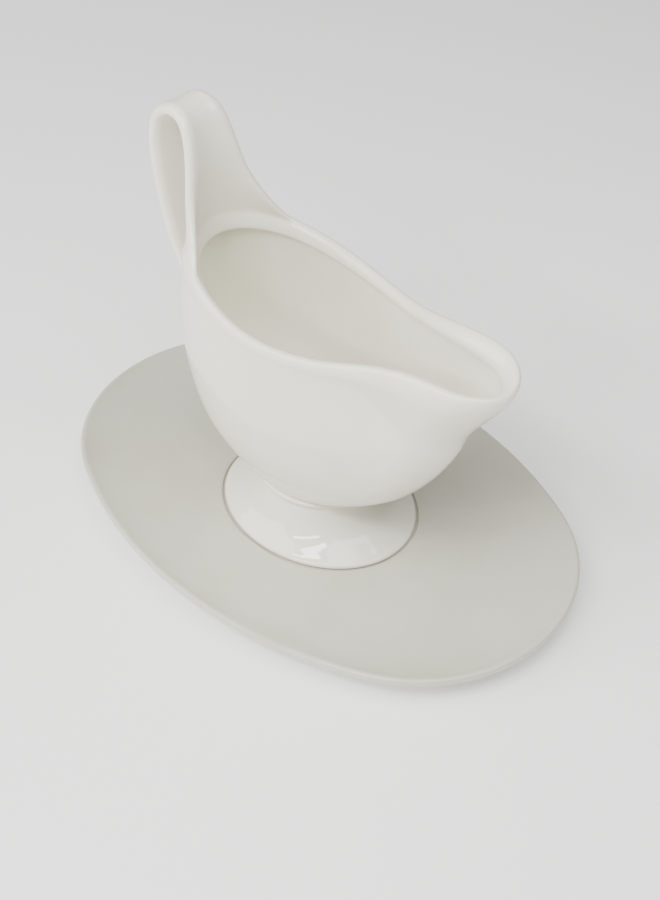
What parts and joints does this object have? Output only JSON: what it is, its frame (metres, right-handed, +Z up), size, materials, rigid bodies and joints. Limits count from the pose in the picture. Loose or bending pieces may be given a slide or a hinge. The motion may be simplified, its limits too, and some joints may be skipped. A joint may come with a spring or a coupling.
{
  "type": "gravy boat with saucer",
  "caption": "Footed porcelain gravy boat with a broad pouring spout and a tall strap loop handle, standing loose in the oval well of its saucer.",
  "frame": {"origin": "on the table, under the middle of the saucer", "axes": "+X along the boat and the long axis of the saucer, towards the spout; +Y across; +Z up"},
  "size_m": [0.24, 0.159, 0.1692],
  "materials": {
    "glazed_saucer": "gloss",
    "glazed_boat": "gloss"
  },
  "bodies": {
    "saucer": {"saucer": "glazed_saucer"},
    "boat": {"bowl": "glazed_boat", "pedestal_foot": "glazed_boat", "loop_handle": "glazed_boat"}
  },
  "joints": [
    {"name": "boat_lift", "type": "slide", "parent": "saucer", "child": "boat", "axis": [0, 0, 1], "range_m": [0, 0.1]}
  ]
}
